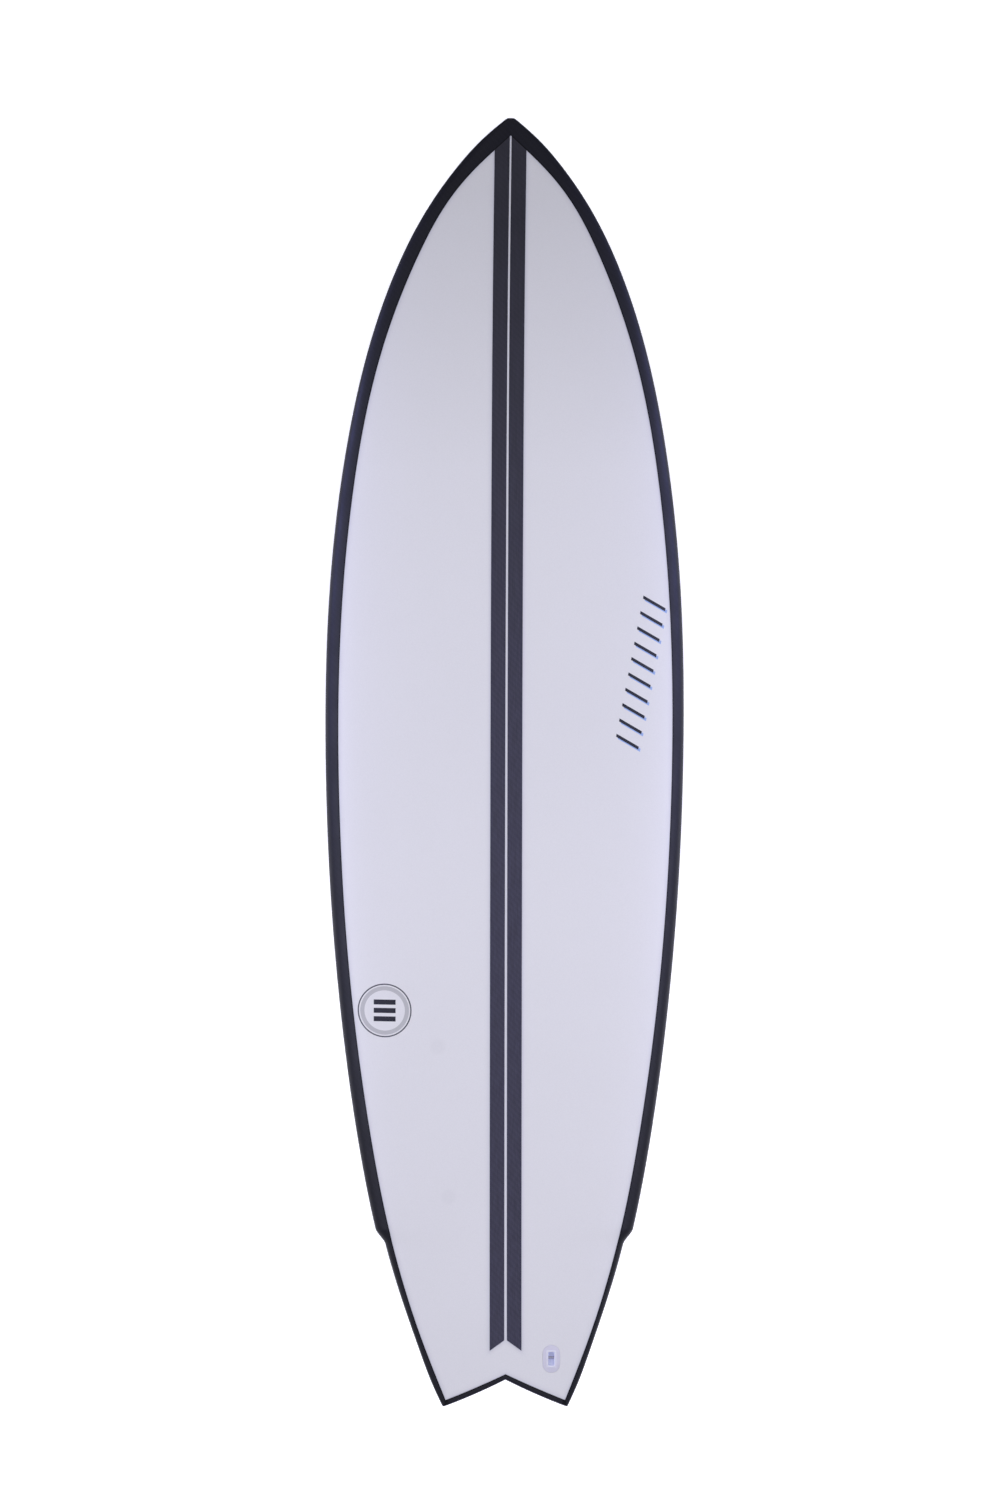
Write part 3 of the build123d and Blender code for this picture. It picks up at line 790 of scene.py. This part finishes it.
def tape_material():
    """Carbon tape under resin: lengthwise tows, a trace of cross weave, and painted shade darker to
    the nose.
    """
    m = Material("carbon_tape")
    tow_width = 0.0021
    x, y, _ = m.axes()
    tow = m.math("SINE", m.math("MULTIPLY", x, 2 * pi / tow_width))
    base = m.mix(m.twill(tow_width), colour(0.0320, 0.0305, 0.0520), colour(0.0370, 0.0350, 0.0580))
    fibre = m.ramp(m.noise(520.0, 3.0, 0.6, m.stretch(1.0, 0.02, 1.0)), 0.3, 0.7, 0.82, 1.18)
    drift = m.ramp(m.noise(2.2, 2.0), 0.3, 0.7, 0.92, 1.08)
    # painted shade: the tape darkens towards the nose, where less light falls
    nose_shade = m.ramp(y, 0.07, 0.73, 1.0, 0.35)
    base = m.scale_colour(base, m.times(fibre, drift, nose_shade))
    rough = m.ramp(m.noise(30.0, 4.0), 0.3, 0.7, 0.36, 0.48)
    m.set(Base_Color=base, Roughness=rough, Specular_IOR_Level=0.35,
          Normal=m.bump(tow, 0.00003, 0.3))
    return m.material


def plug_material():
    """Translucent pale plastic, paler on its lip and bluer inside the slot, where a lighter colour
    and a faint glow are painted light.
    """
    m = Material("plug_plastic")
    flow = m.ramp(m.noise(45.0, 3.0, 0.5, m.stretch(1.0, 0.3, 1.0)), 0.3, 0.7, 0.97, 1.03)
    base = m.mix(m.attribute("lip"), colour(0.66, 0.643, 0.666), colour(0.725, 0.72, 0.72))
    slot = m.attribute("slot")
    # painted light: the slot's lighter colour and faint glow stand in for light through the
    # plastic, against the cavity's shade
    base = m.mix(slot, base, colour(0.80, 0.81, 0.90))
    m.set(Base_Color=m.scale_colour(base, flow), Roughness=m.ramp(flow, 0.97, 1.03, 0.3, 0.42),
          Normal=m.bump(m.noise(1500.0, 2.0), 0.00003, 0.4), Subsurface_Weight=0.35,
          Subsurface_Scale=0.004, Subsurface_Radius=(0.9, 0.9, 1.0),
          Emission_Color=colour(0.58, 0.62, 1.0), Emission_Strength=m.math("MULTIPLY", slot, 0.12))
    return m.material


def plastic_material(name, tone, rough):
    """Moulded plastic with a fine spark-eroded grain and faint flow marks."""
    m = Material(name)
    flow = m.ramp(m.noise(45.0, 3.0, 0.5, m.stretch(1.0, 0.3, 1.0)), 0.3, 0.7, 0.95, 1.04)
    m.set(Base_Color=m.scale_colour(colour(*tone), flow),
          Roughness=m.ramp(m.noise(120.0, 3.0), 0.3, 0.7, rough - 0.06, rough + 0.08),
          Normal=m.bump(m.noise(1500.0, 2.0), 0.00003, 0.4))
    return m.material


def steel_material():
    """Turned stainless steel with fine lines round its length."""
    m = Material("steel")
    lines = m.noise(900.0, 2.0, 0.5, m.stretch(0.05, 1.0, 1.0))
    m.set(Base_Color=m.mix(lines, colour(0.30, 0.29, 0.32), colour(0.42, 0.41, 0.45)), Metallic=1.0,
          Roughness=m.ramp(lines, 0.3, 0.7, 0.24, 0.42), Normal=m.bump(lines, 0.00002, 0.3))
    return m.material


def foam_material(name, tone, bead, depth):
    """Closed-cell foam: rounded beads pressed together, with darker gaps."""
    m = Material(name)
    edge = m.cells(1 / bead)
    gaps = m.ramp(edge, 0.0, 0.10, 0.82, 1.0)
    tint = m.ramp(m.noise(40.0, 2.0), 0.3, 0.7, 0.96, 1.03)
    m.set(Base_Color=m.scale_colour(colour(*tone), m.math("MULTIPLY", gaps, tint)),
          Roughness=m.ramp(edge, 0.0, 0.3, 0.95, 0.75),
          Normal=m.bump(m.ramp(edge, 0.0, 0.2), depth, 0.7))
    return m.material


def fin_material():
    """Dark glass-fibre fin: cloth under polished but hazy resin."""
    m = Material("fin_glass")
    cloth = m.plain_weave(0.0026)
    base = m.mix(cloth, colour(0.016, 0.018, 0.026), colour(0.030, 0.033, 0.046))
    drift = m.ramp(m.noise(18.0, 3.0), 0.3, 0.7, 0.8, 1.25)
    m.set(Base_Color=m.scale_colour(base, drift),
          Roughness=m.ramp(m.noise(50.0, 4.0), 0.3, 0.7, 0.22, 0.34),
          Normal=m.bump(cloth, 0.00003, 0.3), Coat_Weight=0.4, Coat_Roughness=0.12)
    return m.material


def dress_frame():
    """Give the CAD nodes that stay visible their own materials."""
    foam = foam_material("core_foam", (0.86, 0.86, 0.85), 0.0042, 0.0004)
    dense = foam_material("dense_foam", (0.74, 0.66, 0.42), 0.0012, 0.0001)
    stringer = foam_material("stringer_foam", (0.74, 0.73, 0.80), 0.0010, 0.0001)
    rail_foam = foam_material("rail_foam", (0.70, 0.68, 0.60), 0.0016, 0.0002)
    box = plastic_material("box_plastic", (0.46, 0.46, 0.50), 0.4)
    steel = steel_material()
    looks = {"foam_core": foam, "stringer": stringer, "rail_core": rail_foam,
             "leash_plug_insert": dense, "fin_box_insert": dense, "leash_plug_pin": steel,
             "fin_screw": steel, "fin_box": box}
    for name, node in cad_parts.items():
        found = [key for key in looks if name.startswith(key)]
        if found:
            node.data.materials.clear()
            node.data.materials.append(looks[max(found, key=len)])


# ---------------------------------------------------------------- stage, light, camera
def make_floor():
    """Plain pale floor just under the board."""
    x = y = FLOOR_REACH
    mesh = bpy.data.meshes.new("floor")
    mesh.from_pydata([(-x, -y, 0), (x, -y, 0), (x, y, 0), (-x, y, 0)], [], [(0, 1, 2, 3)])
    floor = bpy.data.objects.new("floor", mesh)
    bpy.context.scene.collection.objects.link(floor)
    m = Material("floor_white")
    tint = m.ramp(m.noise(1.5, 3.0), 0.3, 0.7, 0.985, 1.0)
    m.set(Base_Color=m.scale_colour(colour(*[FLOOR_WHITE] * 3), tint), Roughness=0.9,
          Specular_IOR_Level=0.1, Emission_Color=colour(1, 1, 1), Emission_Strength=FLOOR_GLOW)
    mesh.materials.append(m.material)


def area_light(name, where, aim, size, power, tint):
    data = bpy.data.lights.new(name, "AREA")
    data.shape = "RECTANGLE"
    data.size, data.size_y = size
    data.energy = power
    data.color = tint
    light = bpy.data.objects.new(name, data)
    light.location = where
    direction = Vector(aim) - Vector(where)
    light.rotation_euler = direction.to_track_quat("-Z", "Y").to_euler()
    light.visible_camera = False
    bpy.context.scene.collection.objects.link(light)


def make_light():
    """Even studio light from above, with a bluish fill at both sides and behind the tail."""
    world = bpy.data.worlds.new("studio")
    world.use_nodes = True
    bpy.context.scene.world = world
    background = world.node_tree.nodes["Background"]
    background.inputs["Color"].default_value = SKY_COLOUR
    background.inputs["Strength"].default_value = SKY_STRENGTH
    for light in MIDDLE_LIGHTS:
        area_light(*light)
    for side, name in ((-1, "left"), (1, "right")):
        for kind, where, aim, *rest in SIDE_LIGHTS:
            area_light(f"{name}_{kind}", (side * where[0], *where[1:]),
                       (side * aim[0], *aim[1:]), *rest)


def make_camera():
    """Long lens square to the board's baseline, nose at the top, seen slightly from the left."""
    data = bpy.data.cameras.new("camera")
    data.sensor_width = SENSOR
    data.lens = SENSOR * CAMERA_DISTANCE / PICTURE_HEIGHT
    data.clip_end = 2 * CAMERA_DISTANCE * MM
    camera = bpy.data.objects.new("camera", data)
    camera.matrix_world = (Matrix.Translation(Vector(to_row(CAMERA_AIM)))
                           @ Matrix.Rotation(REST_PITCH, 4, "X")
                           @ Matrix.Rotation(CAMERA_LEAN, 4, "Y")
                           @ Matrix.Rotation(CAMERA_ROLL, 4, "Z")
                           @ Matrix.Translation((0, 0, CAMERA_DISTANCE * MM)))
    bpy.context.scene.collection.objects.link(camera)
    bpy.context.scene.camera = camera


make_camera()
make_light()
make_floor()
WHITE = (0.74, 0.733, 0.67)
make_skins(skin_material("deck_white", WHITE, True), skin_material("bottom_white", WHITE, False))
make_rails(rail_material())
make_tapes(tape_material())
make_plug(plug_material())
make_fins(fin_material())
dress_frame()
bpy.context.scene.view_settings.view_transform = "Standard"
